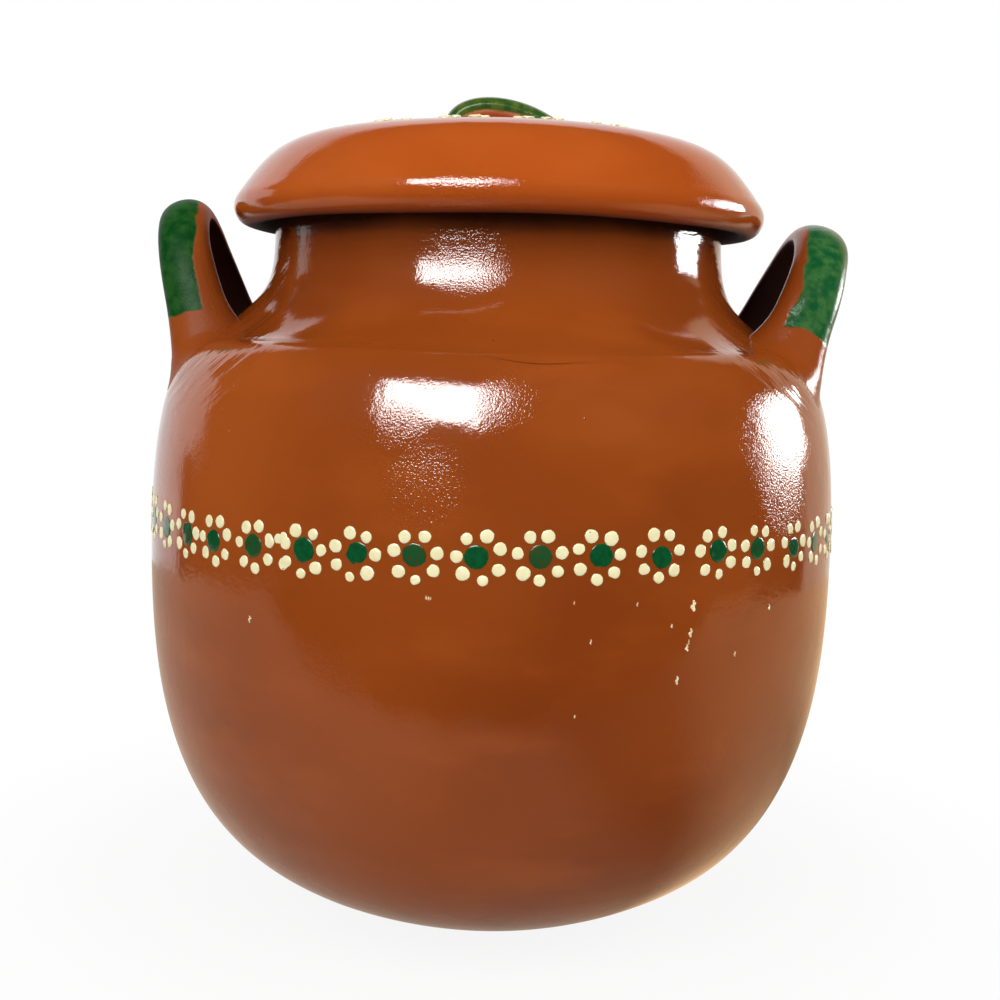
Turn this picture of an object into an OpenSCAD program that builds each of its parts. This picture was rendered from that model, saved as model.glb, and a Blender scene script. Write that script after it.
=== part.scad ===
// Lidded clay bean pot: a round-bellied bowl with a luted neck, two ear
// handles, a domed lid with a strap grip, and flowers of raised slip dots.
// The origin is the centre of the flat the pot stands on, +Z is up,
// and the ears lie to the left (-X) and the right (+X).

/* [Bowl] */
// Radius of the flat that the bowl stands on
base_r = 46; // [40:1:54]
// Outer radius of the belly at its widest
belly_r = 126; // [121:1:132]
// Height of the widest part of the belly
belly_z = 129; // [120:1:136]
// Height of the bowl, up to where the neck is luted on
bowl_h = 208; // [200:1:220]
// Outer radius of the bowl's mouth
root_r = 94; // [90:1:97]
// Wall of the bowl and the neck
wall = 7; // [5.5:0.5:8]
// Angle at which the underside leaves the ground, degrees
base_up = 14; // [8:1:20]
// Slope of the shoulder beside the neck, degrees
shoulder_deg = 16; // [10:1:22]

/* [Neck] */
// Outer radius of the neck at its rim
neck_r = 82; // [79:1:84]
// Height of the neck above the bowl
neck_h = 53; // [46:1:60]
// Angle at which the neck leaves the bowl, degrees
neck_up = 65; // [55:1:75]
// Rounding of the rim's two edges
rim_round = 2.5; // [1:0.25:2.75]

/* [Lid] */
// How far the lid's edge reaches past the neck
lid_over = 15; // [14:0.5:20]
// Height of the lid from its lower edge to its crown
lid_h = 34.5; // [32:0.5:42]
// Radius of the lid's rolled outer edge
edge_r = 6.6; // [5.5:0.1:7]
// Wall of the lid's crown
lid_wall = 8; // [6:0.5:9]
// How far the lid's edge hangs below the rim
skirt_depth = 14; // [10:0.5:15]
// Play between the neck and the lid's skirt, each side
skirt_play = 3.5; // [2.5:0.25:4]
// Gap between the rim and the lid's seat
seat_gap = 0.3; // [0.2:0.05:0.5]

/* [Ear handles] */
// Width of an ear's strap
strap_w = 18.5; // [16:0.5:22]
// Thickness of an ear's strap
strap_t = 11; // [9:0.5:13]
// How far out the ears stand from the bowl's mouth
ear_out = 10.5; // [9:0.5:13]
// Half the span of the left ear, between the middles of its feet
left_span = 27; // [23:1:33]
// Length of the left ear from its feet to the middle of its bow
left_rise = 45.5; // [40:0.5:52]
// Outward lean of the left ear, degrees
left_lean = 14; // [6:1:18]
// Half the span of the right ear
right_span = 34; // [28:1:38]
// Length of the right ear
right_rise = 43.5; // [38:0.5:50]
// Outward lean of the right ear, degrees
right_lean = 19; // [10:1:22]

/* [Lid handle] */
// Width of the lid handle's strap
grip_w = 18; // [14:0.5:22]
// Thickness of the lid handle's strap
grip_t = 8; // [6:0.5:9]
// Half the span of the lid handle, between the middles of its feet
grip_span = 18.5; // [17:0.5:24]
// Height of the strap's middle above the crown
grip_rise = 11.2; // [10.5:0.1:18]
// How far the middle of its feet lies to the right
grip_x = 3; // [-4:0.5:4]
// How far the top of its bow leans to the left
grip_shift = 7; // [0:0.5:8]

/* [Slip flowers] */
// Height of the band of flowers on the belly
band_z = 145; // [138:1:152]
// Radius of a flower's round centre
centre_r = 3.7; // [3:0.1:4]
// Thickness of a flower's round centre
centre_t = 0.5; // [0.3:0.1:0.8]
// Average radius of a petal
petal_r = 2.05; // [1.6:0.05:2.1]
// Thickness of a petal
petal_t = 0.8; // [0.4:0.1:1]
// Radius of the circle that the petals stand on
petal_ring_r = 6.6; // [6.4:0.1:6.9]
// Number of petals round one flower
petal_count = 7; // [5:1:7]
// Radius of the ring of flowers on the lid
lid_ring_r = 58; // [50:1:60]
// Number of flowers on the lid
lid_flowers = 15; // [8:1:15]

/* [Hidden] */

clay = "#9c4a1d";
lid_clay = "#b8581c";
cream = "#f4eec4";
green = "#0b5a28";

// Turns of the fifteen flowers on the front, degrees from the front to the right.
front_turns = [-60, -51.5, -43.5, -35, -26.5, -18.5, -10, -1.5, 6.5, 14.5, 23.5, 33, 41.5, 51, 59.5];
back_flowers = 27;

curve_n = 16;
round_n = 6;
ring_n = 24;
side_n = 20;
round_power = 2.1;
flat_power = 3;

rim_z = bowl_h + neck_h;
seat_z = rim_z + seat_gap;
lip_z = seat_z - skirt_depth;
crown_z = lip_z + lid_h;

// Point, direction and left-hand side of a cubic curve with four handles.
function curve(p, t) =
    pow(1 - t, 3) * p[0] + 3 * pow(1 - t, 2) * t * p[1] + 3 * (1 - t) * t * t * p[2] + t * t * t * p[3];
function curve_dir(p, t) =
    pow(1 - t, 2) * (p[1] - p[0]) + 2 * (1 - t) * t * (p[2] - p[1]) + t * t * (p[3] - p[2]);
function left_of(v) = [-v[1], v[0]] / norm(v);
function along(p, n, inset = 0, first = 0) =
    [for (i = [first:n]) curve(p, i / n) + inset * left_of(curve_dir(p, i / n))];
function arc(c, r, a, b, n) = [for (i = [0:n]) c + r * [cos(a + (b - a) * i / n), sin(a + (b - a) * i / n)]];
function back_to_front(p) = [for (i = [len(p) - 1:-1:0]) p[i]];

// The bowl's outer wall, as radius and height: the underside, then the shoulder.
under_len = 0.5 * belly_r;
under_pull = 0.59 * belly_z;
shoulder_pull = 1.127 * (bowl_h - belly_z);
shoulder_len = 12;
under_curve = [[base_r, 0], [base_r + under_len * cos(base_up), under_len * sin(base_up)],
               [belly_r, belly_z - under_pull], [belly_r, belly_z]];
shoulder_curve = [[belly_r, belly_z], [belly_r, belly_z + shoulder_pull],
                  [root_r + shoulder_len * cos(shoulder_deg), bowl_h - shoulder_len * sin(shoulder_deg)],
                  [root_r, bowl_h]];
bowl_outside = concat(along(under_curve, curve_n), along(shoulder_curve, curve_n, 0, 1));
bowl_inside = concat(along(under_curve, curve_n, wall), along(shoulder_curve, curve_n, wall, 1));

// The neck's outer wall, and the same curve moved in by its wall.
throat_r = root_r - wall - 0.5;
foot_len = 24;
neck_pull = 0.664 * neck_h;
function neck_curve(foot_r, top_r) =
    [[foot_r, bowl_h], [foot_r - foot_len * cos(neck_up), bowl_h + foot_len * sin(neck_up)],
     [top_r, rim_z - rim_round - neck_pull], [top_r, rim_z - rim_round]];
neck_outside = along(neck_curve(root_r, neck_r), curve_n);

// The lid's outer wall, from its lowest ring to its crown.
lid_r = neck_r + lid_over;
edge_end = 36;
edge_c = [lid_r - edge_r, lip_z + edge_r];
edge_top = edge_c + edge_r * [cos(edge_end), sin(edge_end)];
crown_reach = 0.95 * (crown_z - edge_top[1]) * tan(edge_end);
crown_turn = [edge_top[0] - crown_reach, edge_top[1] + crown_reach / tan(edge_end)];
crown_curve = [edge_top, crown_turn, [crown_turn[0], crown_z], [0, crown_z]];
lid_outside = concat(arc(edge_c, edge_r, -90, edge_end, round_n), along(crown_curve, curve_n, 0, 1));

// Radius, height and outward slope of a wall, read from a fine run of its curve.
fine_n = 120;
function wall_r(p, z) = lookup(z, [for (i = [0:fine_n]) [curve(p, i / fine_n)[1], curve(p, i / fine_n)[0]]]);
function wall_z(p, r) = lookup(r, [for (i = [0:fine_n]) [curve(p, i / fine_n)[0], curve(p, i / fine_n)[1]]]);
function slope_at(p, axis, v) =
    lookup(v, [for (i = [0:fine_n]) let (d = curve_dir(p, i / fine_n)) [curve(p, i / fine_n)[axis], atan2(d[1], -d[0])]]);

module bowl() {
    color(clay)
        rotate_extrude($fn = 96)
            polygon(concat([[0, 0]], bowl_outside,
                [[throat_r, bowl_h],
                 [throat_r, bowl_inside[2 * curve_n][1] + (bowl_inside[2 * curve_n][0] - throat_r) * tan(shoulder_deg)]],
                back_to_front(bowl_inside), [[0, bowl_inside[0][1]]]));
}

module neck() {
    inside = along(neck_curve(throat_r, neck_r - wall), curve_n);
    color(clay)
        rotate_extrude($fn = 96)
            polygon(concat(neck_outside,
                arc([neck_r - rim_round, rim_z - rim_round], rim_round, 0, 90, round_n),
                arc([neck_r - wall + rim_round, rim_z - rim_round], rim_round, 90, 180, round_n),
                back_to_front(inside)));
}

// The pot's outer form without its hollow, which seats whatever is luted on.
module pot_form() {
    rotate_extrude($fn = 96)
        polygon(concat([[0, 0]], bowl_outside, neck_outside, [[0, rim_z - rim_round]]));
}

// One ring of a strap's section: full and round on the side of v, flatter behind.
function strap_ring(c, v, w, crown, back, w_out, w_in) =
    [for (i = [0:side_n - 1])
        let (a = 360 * i / side_n, s = sin(a), k = cos(a), e = 2 / (s > 0 ? round_power : flat_power))
            c + v * (s > 0 ? crown : back) * sign(s) * pow(abs(s), e)
              + w * (k > 0 ? w_out : w_in) * sign(k) * pow(abs(k), e)];

// A closed skin over a row of rings.
module loft(rings) {
    n = len(rings);
    polyhedron(
        points = [for (r = rings) each r],
        faces = concat(
            [[for (j = [0:side_n - 1]) j]],
            [for (i = [0:n - 2], j = [0:side_n - 1]) let (k = (j + 1) % side_n)
                each [[i * side_n + j, (i + 1) * side_n + j, (i + 1) * side_n + k],
                      [i * side_n + j, (i + 1) * side_n + k, i * side_n + k]]],
            [[for (j = [side_n - 1:-1:0]) (n - 1) * side_n + j]]));
}

// An ear: a strap bent to a bow, whose feet spread as they meet the shoulder.
ear_sink = 24;
crown_share = 0.7;
flare_h = 16;
flare_max = 1.3;
flare_in = 7;
flare_out = 1.5;
flare_t = 3.5;
module ear(span, rise, lean) {
    ear_x = root_r + ear_out;
    foot_z = wall_z(shoulder_curve, norm([ear_x, span]));
    up = [sin(lean), 0, cos(lean)];
    out = [cos(lean), 0, -sin(lean)];
    feet = [[-1, -ear_sink], [-1, -ear_sink / 2]];
    bow = [for (i = [0:ring_n]) [-cos(180 * i / ring_n), rise * sin(180 * i / ring_n)]];
    path = concat(feet, bow, [for (f = back_to_front(feet)) [1, f[1]]]);
    difference() {
        loft([for (i = [0:len(path) - 1])
            let (p = path[i],
                 a = 180 * min(1, max(0, (i - len(feet)) / ring_n)),
                 n = (-cos(a) * rise * [0, 1, 0] + sin(a) * span * up) / norm([cos(a) * rise, sin(a) * span]),
                 f = pow(max(0, min(flare_max, 1 - p[1] / flare_h)), 2))
            strap_ring([ear_x, p[0] * span, foot_z] + p[1] * up, n, out,
                strap_t * crown_share + flare_t * f, strap_t * (1 - crown_share) + flare_t * f,
                strap_w / 2 + flare_out * f, strap_w / 2 + flare_in * f)]);
        pot_form();
    }
}

module left_handle() {
    color(clay) mirror([1, 0, 0]) ear(left_span, left_rise, left_lean);
}

module right_handle() {
    color(clay) ear(right_span, right_rise, right_lean);
}

// A low round cap of slip, a slice of a ball, standing on the plane z = 0.
module dot(r, t) {
    ball_r = (r * r + t * t) / (2 * t);
    rotate_extrude($fn = 48)
        intersection() {
            translate([0, t - ball_r]) circle(ball_r, $fn = 240);
            square([r, t]);
        }
}

// A flat dab of slip with a sloping edge, standing on the plane z = 0.
dab_slope = 1.6;
module dab(r, t) {
    rotate_extrude($fn = 48)
        polygon([[0, 0], [r, 0], [r - dab_slope * t, t], [0, t]]);
}

// Puts its children on a wall: turn is counted from the front to the right,
// steep is the wall's slope there, and the wall's normal becomes +Z.
module on_wall(turn, r, z, steep) {
    rotate([0, 0, turn])
        translate([0, -r, z])
            rotate([steep, 0, 0])
                children();
}

// Each flower wanders a little up and down, and each petal differs a little in size.
function wander(turn) = 1.2 * sin(3 * turn + 40);
function petal_size(turn, i) = petal_r * (0.93 + 0.12 * sin(97 * i + 7 * turn) - (i == 0 ? 0.14 : 0));
back_step = (360 - front_turns[14] + front_turns[0]) / (back_flowers + 1);
band_turns = concat(front_turns, [for (i = [1:back_flowers]) front_turns[14] + i * back_step]);

module on_band(turn, side = 0, up = 0) {
    z = band_z + wander(turn) + up;
    wr = wall_r(shoulder_curve, z);
    on_wall(turn + atan(side / wr), wr, z, slope_at(shoulder_curve, 1, z)) children();
}

module band_centres() {
    color(green)
        for (turn = band_turns)
            on_band(turn) dab(centre_r, centre_t);
}

module band_petals() {
    color(cream)
        for (turn = band_turns, i = [0:petal_count - 1])
            let (a = 180 + 360 * i / petal_count)
                on_band(turn, petal_ring_r * sin(a), petal_ring_r * cos(a)) dot(petal_size(turn, i), petal_t);
}

seat_in = 2;
hollow_turn = 7;
module lid_dome() {
    skirt_r = neck_r + skirt_play;
    lip_round = edge_r / 2;
    lip_c = [lid_r - edge_r, lip_z + lip_round];
    seat_r = neck_r - wall - seat_in;
    under_z = crown_z - lid_wall;
    under = along([[seat_r, seat_z], [seat_r - hollow_turn, under_z - hollow_turn / 2],
                   [0.7 * seat_r, under_z], [0, under_z]], curve_n);
    color(lid_clay)
        rotate_extrude($fn = 96)
            polygon(concat(lid_outside, back_to_front(under), [[skirt_r, seat_z]],
                arc(lip_c, lip_round, 180, 270, round_n)));
}

module lid_handle() {
    color(lid_clay)
        difference() {
            loft([for (i = [0:ring_n])
                let (a = 180 * i / ring_n,
                     n = [-cos(a) * grip_rise, 0, sin(a) * grip_span] / norm([cos(a) * grip_rise, sin(a) * grip_span]),
                     f = pow(1 - sin(a), 2))
                strap_ring([grip_x - grip_span * cos(a) - grip_shift * sin(a), 0, crown_z + grip_rise * sin(a)],
                    n, [0, 1, 0], grip_t / 2 + 1.5 * f, grip_t / 2 + 1.5 * f, grip_w / 2 + 3 * f, grip_w / 2 + 3 * f)]);
            rotate_extrude($fn = 96) polygon(concat([[0, lip_z]], lid_outside));
        }
}

module on_lid(turn, side = 0, up = 0) {
    ring = lid_ring_r - up;
    wr = norm([ring, side]);
    on_wall(turn + atan(side / ring), wr, wall_z(crown_curve, wr), slope_at(crown_curve, 0, wr)) children();
}

module lid_centres() {
    color(green)
        for (k = [0:lid_flowers - 1])
            on_lid(360 * (k + 0.5) / lid_flowers) dab(centre_r, centre_t);
}

module lid_petals() {
    color(cream)
        for (k = [0:lid_flowers - 1], i = [0:petal_count - 1])
            let (turn = 360 * (k + 0.5) / lid_flowers, a = 180 + 360 * i / petal_count)
                on_lid(turn, petal_ring_r * sin(a), petal_ring_r * cos(a)) dot(petal_size(turn, i), petal_t);
}

bowl();
neck();
left_handle();
right_handle();
band_centres();
band_petals();
lid_dome();
lid_handle();
lid_centres();
lid_petals();
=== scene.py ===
# %% [markdown]
# # A glazed clay bean pot with slip flowers
# This lesson dresses a lidded Mexican bean pot, an olla. The frame holds its pieces at their true
# size: a bowl, a neck, two ears, a lid with a strap grip, and flowers of slip. We make each piece
# again as a smooth hand-made form in the same place, and then give it the finish of the real one.

# %% Load the frame
import math

import bpy
import numpy as np
from mathutils import Matrix, Vector, noise


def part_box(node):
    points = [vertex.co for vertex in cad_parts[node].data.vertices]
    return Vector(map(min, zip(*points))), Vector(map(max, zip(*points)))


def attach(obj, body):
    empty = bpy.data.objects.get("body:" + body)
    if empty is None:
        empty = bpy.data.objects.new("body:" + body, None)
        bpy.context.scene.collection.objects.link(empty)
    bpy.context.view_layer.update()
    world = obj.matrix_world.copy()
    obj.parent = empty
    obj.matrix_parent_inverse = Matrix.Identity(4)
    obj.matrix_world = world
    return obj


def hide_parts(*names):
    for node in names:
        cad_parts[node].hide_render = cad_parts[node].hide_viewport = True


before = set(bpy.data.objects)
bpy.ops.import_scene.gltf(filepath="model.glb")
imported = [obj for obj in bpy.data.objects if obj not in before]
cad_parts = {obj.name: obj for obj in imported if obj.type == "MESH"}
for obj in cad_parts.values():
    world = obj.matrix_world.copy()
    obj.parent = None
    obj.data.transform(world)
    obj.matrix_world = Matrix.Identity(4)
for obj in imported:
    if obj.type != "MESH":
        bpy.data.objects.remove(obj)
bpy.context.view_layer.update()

# %% [markdown]
# ## The outlines
# A potter's form is a turned one, so one outline tells the whole wall. It could be traced as a row
# of points, but a few cubic curves say more: each has two ends, a direction at each end and how far
# that direction holds. The main sizes are read from the frame, and the rest are in metres.

# %% Sizes of the walls
MM = 0.001
bowl_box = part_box("bowl")
neck_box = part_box("neck")
lid_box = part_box("lid_dome")
BELLY_R = bowl_box[1].x
BOWL_H = bowl_box[1].z
ROOT_R = neck_box[1].x
RIM_Z = neck_box[1].z
LID_R = lid_box[1].x
LIP_Z = lid_box[0].z
CROWN_Z = lid_box[1].z
BASE_R = 46 * MM
BELLY_Z = 129 * MM
NECK_R = 82 * MM
WALL = 7 * MM
RIM_ROUND = 2.5 * MM
EDGE_R = 6.6 * MM
print("belly", round(BELLY_R, 4), "rim", round(RIM_Z, 4), "lid", round(LID_R, 4))


# %% Curves as rows of radius and height
def cubic(ends, steps):
    """Points of a cubic curve with four handles."""
    a, b, c, d = (np.array(p, float) for p in ends)
    t = np.linspace(0, 1, steps + 1)[:, None]
    return (1 - t) ** 3 * a + 3 * (1 - t) ** 2 * t * b + 3 * (1 - t) * t * t * c + t**3 * d


def arc(centre, radius, first, last, steps):
    """Points of an arc between two angles in degrees."""
    a = np.radians(np.linspace(first, last, steps + 1))
    return np.array(centre) + radius * np.stack([np.cos(a), np.sin(a)], 1)


def reach(point, length, degrees):
    """The point that lies so far from another in a direction."""
    a = math.radians(degrees)
    return [point[0] + length * math.cos(a), point[1] + length * math.sin(a)]


def chain(*rows):
    """Rows of points joined end to end, each shared point kept once."""
    return np.vstack([rows[0], *[r[1:] for r in rows[1:]]])


# The ends' directions in degrees, and how far upright directions hold as a share of the height
BASE_UP, ROOT_DOWN, NECK_UP, EDGE_END = 14, -16, 115, 36
UNDER_HOLD, SHOULDER_HOLD, NECK_HOLD, CROWN_HOLD = 0.41, 1.127, 0.664, 0.95
base = [BASE_R, 0]
belly = [BELLY_R, BELLY_Z]
root = [ROOT_R, BOWL_H]
neck_top = [NECK_R, RIM_Z - RIM_ROUND]
under_curve = [base, reach(base, BELLY_R / 2, BASE_UP), [BELLY_R, UNDER_HOLD * BELLY_Z], belly]
belly_handle = [BELLY_R, BELLY_Z + SHOULDER_HOLD * (BOWL_H - BELLY_Z)]
shoulder_curve = [belly, belly_handle, reach(root, 12 * MM, ROOT_DOWN), root]
neck_handle = [NECK_R, neck_top[1] - NECK_HOLD * (RIM_Z - BOWL_H)]
neck_curve = [root, reach(root, 24 * MM, NECK_UP), neck_handle, neck_top]
edge_centre = [LID_R - EDGE_R, LIP_Z + EDGE_R]
edge_top = reach(edge_centre, EDGE_R, EDGE_END)
edge_slope = math.tan(math.radians(EDGE_END))
crown_reach = CROWN_HOLD * (CROWN_Z - edge_top[1]) * edge_slope
crown_turn = [edge_top[0] - crown_reach, edge_top[1] + crown_reach / edge_slope]
crown_curve = [edge_top, crown_turn, [crown_turn[0], CROWN_Z], [0, CROWN_Z]]
print("lid edge meets the crown at", [round(v, 4) for v in edge_top])

# %% [markdown]
# ## Walls shaped by hand
# A pot like this one is pressed over a mould and scraped, so no wall is truly round. The light on
# the glaze shows it: its edges waver. A modifier could shake the points, but the ears and flowers
# have to sit on the same uneven wall, so one function gives the depth of the dents at any place, and
# every piece asks it. The dents only go inwards, so the pot keeps its outer size.


# %% Dents of the hand, and the side of an outline
DENT_DEPTH = 0.55 * MM
DENT_SIZE = 46 * MM


def dent(x, y, z):
    """How far the hand pressed the wall in at this place."""
    place = Vector((x, y, z))
    broad = noise.noise(place / DENT_SIZE)
    close = noise.noise(place / (0.32 * DENT_SIZE) + Vector((7, 3, 5)))
    return DENT_DEPTH * (0.5 + 0.42 * broad + 0.08 * close)


def side_normals(outline):
    """The side of each point of an outline that points to the right of its run."""
    run = np.gradient(outline, axis=0)
    side = np.stack([run[:, 1], -run[:, 0]], 1)
    return side / np.maximum(np.linalg.norm(side, axis=1), 1e-9)[:, None]


# %% Meshes and the numbers they carry
def put_in_scene(name, data):
    """A new object with this data, in the scene."""
    made = bpy.data.objects.new(name, data)
    bpy.context.scene.collection.objects.link(made)
    return made


def link_mesh(name, points, faces):
    """A smooth-shaded mesh object at the origin."""
    mesh = bpy.data.meshes.new(name)
    mesh.from_pydata([tuple(p) for p in points], [], faces)
    mesh.validate()
    mesh.shade_smooth()
    return put_in_scene(name, mesh)


def write_measure(piece, key, values):
    """Gives each point of a piece its own number, or three of them."""
    values = np.array(values, np.float32)
    kind, field = ("FLOAT", "value") if values.ndim == 1 else ("FLOAT_VECTOR", "vector")
    piece.data.attributes.new(key, kind, "POINT").data.foreach_set(field, values.ravel())


# %% A mesh turned from an outline
def turned(name, outline_at, columns, lift=None):
    """A wall of revolution. outline_at(turn) gives its outline, from the inside or the axis round
    with the outside on its right. lift moves points up or down."""
    outlines = [outline_at(2 * math.pi * k / columns) for k in range(columns)]
    normals = [side_normals(o) for o in outlines]
    points, rings = [], []
    for i in range(len(outlines[0])):
        ring = []
        for k in range(1 if outlines[0][i][0] < 1e-6 else columns):
            turn = 2 * math.pi * k / columns
            x, y = math.sin(turn), -math.cos(turn)
            r, z = outlines[k][i]
            nr, nz = normals[k][i]
            deep = dent(x * r, y * r, z)
            up = lift(turn, r, z) if lift else 0
            ring.append(len(points))
            points.append((x * (r - deep * nr), y * (r - deep * nr), z - deep * nz + up))
        rings.append(ring)
    faces = []
    for a, b in zip(rings, rings[1:]):
        for k in range(columns):
            j = (k + 1) % columns
            quad = [a[k % len(a)], a[j % len(a)], b[j % len(b)], b[k % len(b)]]
            faces.append(list(dict.fromkeys(quad)))
    return link_mesh(name, points, faces)


# %% [markdown]
# ## The bowl
# The bowl is the round belly that holds the beans. It stands on a small flat, and its wall has one
# thickness, so the inside follows the outside. We turn both in one outline: out from the middle of
# the flat, up the outside, over the mouth under the neck, and down the inside to the axis again.

# %% Turn the bowl
COLUMNS = 240
outside = chain(cubic(under_curve, 62), cubic(shoulder_curve, 52))
flat = np.array([[0, 0], [0.5 * BASE_R, 0], [0.85 * BASE_R, 0], [BASE_R, 0]])
inside = (outside - WALL * side_normals(outside))[::-1][::2]
inside = inside[(inside[:, 0] < ROOT_R - WALL) | (inside[:, 1] < BELLY_Z)]
inside = inside[inside[:, 0] > 0.6 * BASE_R]
mouth = np.array([[ROOT_R - WALL, BOWL_H], [ROOT_R - WALL, inside[0][1] + 1.5 * MM]])
floor_inside = np.array([[0.3 * BASE_R, inside[-1][1]], [0, inside[-1][1]]])
bowl_outline = np.vstack([flat, outside[1:], mouth, inside, floor_inside])
bowl = turned("bowl_wall", lambda turn: bowl_outline, COLUMNS)
print("bowl:", len(bowl.data.vertices), "points")

# %% [markdown]
# ## The neck
# The potter throws the neck as a ring and lutes it on the bowl's mouth with wet clay, and then
# wipes the seam. That leaves a soft hollow at its root, and a thin skirt of clay on the shoulder.
# So the neck's outline starts a little way out on the shoulder, just over the bowl's own wall,
# runs through a rounded corner and goes up to the rim. Beside the ears more clay was wiped into
# the corner, so the outline there starts farther out and climbs higher. The skirt's edge wanders
# all round as well, so the outline depends on the turn.

# %% Turn the neck
SKIRT = 12 * MM
EAR_SKIRT = 9 * MM
shoulder = cubic(shoulder_curve, 240)
neck_out = cubic(neck_curve, 60)
rim_outer = arc([NECK_R - RIM_ROUND, RIM_Z - RIM_ROUND], RIM_ROUND, 0, 90, 5)
rim_inner = arc([NECK_R - WALL + RIM_ROUND, RIM_Z - RIM_ROUND], RIM_ROUND, 90, 180, 5)
neck_in = (neck_out - WALL * side_normals(neck_out))[::-1][::3]
neck_in = neck_in[neck_in[:, 1] < RIM_Z - 1.5 * RIM_ROUND]


def at_length(curve, from_point, length):
    """The point of a curve that lies so far from a point at its end."""
    apart = np.linalg.norm(curve - from_point, axis=1)
    order = np.argsort(apart)
    return np.array([np.interp(length, apart[order], curve[order, i]) for i in (0, 1)])


def wiped_corner(turn):
    """The rounded corner between shoulder and neck, wider beside an ear."""
    beside = math.exp(-((abs(math.sin(turn)) - 1) / 0.09) ** 2)
    wander = 2.6 * math.sin(3 * turn + 1) + 1.3 * math.sin(8 * turn) + 0.6 * math.sin(19 * turn)
    skirt = SKIRT + EAR_SKIRT * beside + wander * MM
    low, high = at_length(shoulder, root, skirt), at_length(neck_out, root, 1.15 * skirt)
    low = low + np.array([0, 0.03 * MM])
    feather = at_length(shoulder, root, skirt + 3 * MM) - np.array([0, 0.4 * MM])
    half_way = at_length(shoulder, root, skirt + 1.5 * MM) - np.array([0, 0.14 * MM])
    way_in = at_length(shoulder, root, skirt - MM) - at_length(shoulder, root, skirt + MM)
    way_down = at_length(neck_out, root, 1.15 * skirt - MM) - at_length(neck_out, root, 1.15 * skirt + MM)
    way_in, way_down = way_in / np.linalg.norm(way_in), way_down / np.linalg.norm(way_down)
    corner = cubic([low, low + 0.56 * skirt * way_in, high + 0.64 * skirt * way_down, high], 16)
    return np.vstack([[feather], [half_way], corner])


def neck_outline(turn):
    """The neck's closed outline, from the shoulder up to the rim and down its inside."""
    corner = wiped_corner(turn)
    tuck = corner[0] + np.array([1.2, -1.2]) * MM
    rise = np.linspace(corner[-1][1], RIM_Z - RIM_ROUND, 26)[1:]
    up = np.stack([np.interp(rise, neck_out[:, 1], neck_out[:, 0]), rise], 1)
    inner_foot = [ROOT_R - WALL, BOWL_H - WALL]
    return np.vstack([[tuck], corner, up, rim_outer[1:], rim_inner, neck_in, [inner_foot], [tuck]])


neck = turned("neck_wall", neck_outline, COLUMNS)
print("neck:", len(neck.data.vertices), "points")

# %% [markdown]
# ## The lid
# The lid is a shallow dome with a rolled edge that hangs round the neck. Its lower edge was cut by
# hand with a wire, so it dips and rises by a millimetre or so. The same turning function does
# it, with a small lift that depends on the direction and fades towards the crown. The underside
# was left bare and is painted dark as shade, and the lid carries a number that says so to its finish.

# %% Turn the lid
SEAT_Z = RIM_Z + 0.3 * MM
UNDER_Z = CROWN_Z - 8 * MM
SEAT_R = NECK_R - WALL - 2 * MM
LID_INSIDE_R = NECK_R + 3.5 * MM


def uneven_lip(turn, r, z):
    """The lid's lower edge dips at the front and rises a little elsewhere."""
    share = min(1, max(0, (SEAT_Z - z) / (SEAT_Z - LIP_Z)))
    wander = 0.22 * math.sin(3 * turn + 0.6) + 0.12 * math.sin(7 * turn)
    return share * (-0.25 - 0.85 * math.cos(turn) + wander) * MM


lip = arc([LID_R - EDGE_R, LIP_Z + EDGE_R / 2], EDGE_R / 2, 180, 270, 6)
edge = arc(edge_centre, EDGE_R, -90, EDGE_END, 16)
crown = cubic(crown_curve, 60)
seat, seat_handle = [SEAT_R, SEAT_Z], [SEAT_R - 7 * MM, UNDER_Z - 3.5 * MM]
hollow = cubic([seat, seat_handle, [0.7 * SEAT_R, UNDER_Z], [0, UNDER_Z]], 24)
inner_wall = np.array([[LID_INSIDE_R, SEAT_Z], [LID_INSIDE_R, SEAT_Z - 4 * MM]])
lid_outline = np.vstack([hollow[::-1], inner_wall, lip, edge[1:], crown[1:]])
lid = turned("lid_dome_wall", lambda turn: lid_outline, COLUMNS, lift=uneven_lip)
print("lid:", len(lid.data.vertices), "points")

# %% Mark the lid's bare underside, which is painted dark as shade
UNDER_ROWS = len(hollow) + len(inner_wall) + len(lip)
FADE_ROWS = 7
under_points = 1 + (UNDER_ROWS - 1) * COLUMNS
# This share makes the finish matt and paints the underside near black as the shade under the lid.
under = np.zeros(len(lid.data.vertices))
under[:under_points] = 1
for row in range(FADE_ROWS):
    first = under_points + row * COLUMNS
    under[first:first + COLUMNS] = 0.8 * (1 - row / FADE_ROWS) ** 1.5
write_measure(lid, "under", under)
print("bare underside:", under_points, "points, and", FADE_ROWS, "rows to fade it out")

# %% [markdown]
# ## Straps: the ears and the grip
# An ear is a strap of soft clay, bent to a bow and pressed on the shoulder, where the potter wipes
# its feet out into the wall. A tube along a curve would stop short at the wall with a hard line.
# Here each line of the strap runs down until it is a little above the wall, and then turns outward
# in a quarter circle until it lies flat on it, so the foot flows into the pot as wiped clay does.


# %% Distance from a turned wall
def wall_gap(profile):
    """A function that gives the height of points over a turned wall, and the wall's outward side."""
    normals = side_normals(profile)

    def over_wall(points):
        """How high points lie over the wall, and the wall's outward side by each of them."""
        r = np.hypot(points[:, 0], points[:, 1])
        flat_points = np.stack([r, points[:, 2]], 1)
        near = np.linalg.norm(flat_points[:, None] - profile[None], axis=2).argmin(1)
        height = ((flat_points - profile[near]) * normals[near]).sum(1)
        pressed = np.array([dent(*p) for p in points])
        turn = points[:, :2] / np.maximum(r, 1e-9)[:, None]
        side = np.hstack([turn * normals[near][:, :1], normals[near][:, 1:]])
        return height + pressed, side

    return over_wall


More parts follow.
